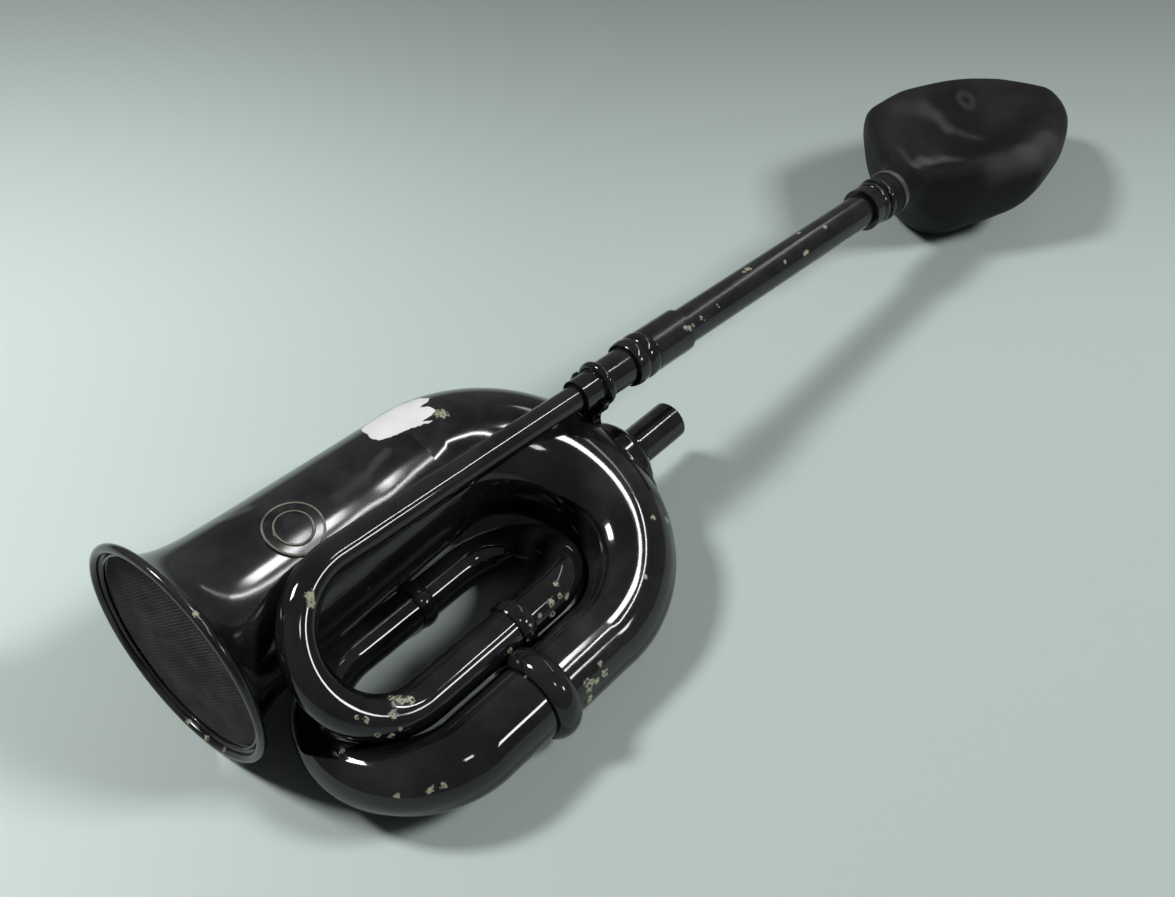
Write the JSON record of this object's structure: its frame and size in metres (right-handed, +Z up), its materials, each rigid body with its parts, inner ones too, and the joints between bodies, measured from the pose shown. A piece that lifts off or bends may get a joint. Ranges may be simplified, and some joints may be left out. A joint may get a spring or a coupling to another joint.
{
  "type": "bulb horn",
  "caption": "Coiled black motor horn with a short flared bell, a gauze-covered mouth, a mounting spigot and a long neck to a rubber squeeze bulb, lying on its side.",
  "frame": {"origin": "on the ground under the middle of the bounding box, the horn lying on its bell rim, big bend and bulb", "axes": "+X from the bell mouth to the bulb along the longest extent, +Z up, the coil on the -Y side"},
  "size_m": [0.6145, 0.181, 0.1059],
  "materials": {
    "japanned": "glossy black japan, chipped and worn",
    "wire": "plain steel wire",
    "gauze": "brown tarnished wire gauze",
    "band": "dull grey band",
    "rubber": "matt aged rubber, brown-black",
    "reed_brass": "plain brass",
    "reed_steel": "plain steel"
  },
  "bodies": {
    "horn": {"bell": "japanned", "rim_wire": "wire", "gauze_screen": "gauze", "gauze_ring": "japanned", "badge": "japanned", "big_bend": "japanned", "big_bend_ferrule": "japanned", "lower_loop": "japanned", "inner_ferrule": "japanned", "inner_bend": "japanned", "upper_ferrule": "japanned", "upper_loop": "japanned", "stem_collar": "japanned", "collar_bracket": "japanned", "spigot_boss": "japanned", "mounting_spigot": "japanned", "reed_housing": "japanned", "housing_ring": "japanned", "neck_socket": "japanned", "socket_ring": "japanned", "neck_tube": "japanned", "bulb_ferrule": "japanned", "bulb_band": "band", "reed_shallot": "reed_brass", "reed_clamp": "reed_brass", "reed_screws": "reed_steel"},
    "bulb": {"rubber_bulb": "rubber"},
    "reed": {"reed_tongue": "reed_brass"}
  },
  "joints": [
    {"name": "bulb_squeeze", "type": "slide", "parent": "horn", "child": "bulb", "axis": [-0.9951, 0.0405, 0.0903], "range_m": [0, 0.02], "stiffness_N_per_m": 600, "deforming": ["rubber_bulb"]},
    {"name": "reed_flex", "type": "hinge", "parent": "horn", "child": "reed", "pos_m": [-0.0666, -0.0008, 0.07066], "axis": [0.0377, -0.688, 0.7247], "range_deg": [-1.5, 1.5], "stiffness_Nm_per_rad": 0.02}
  ]
}
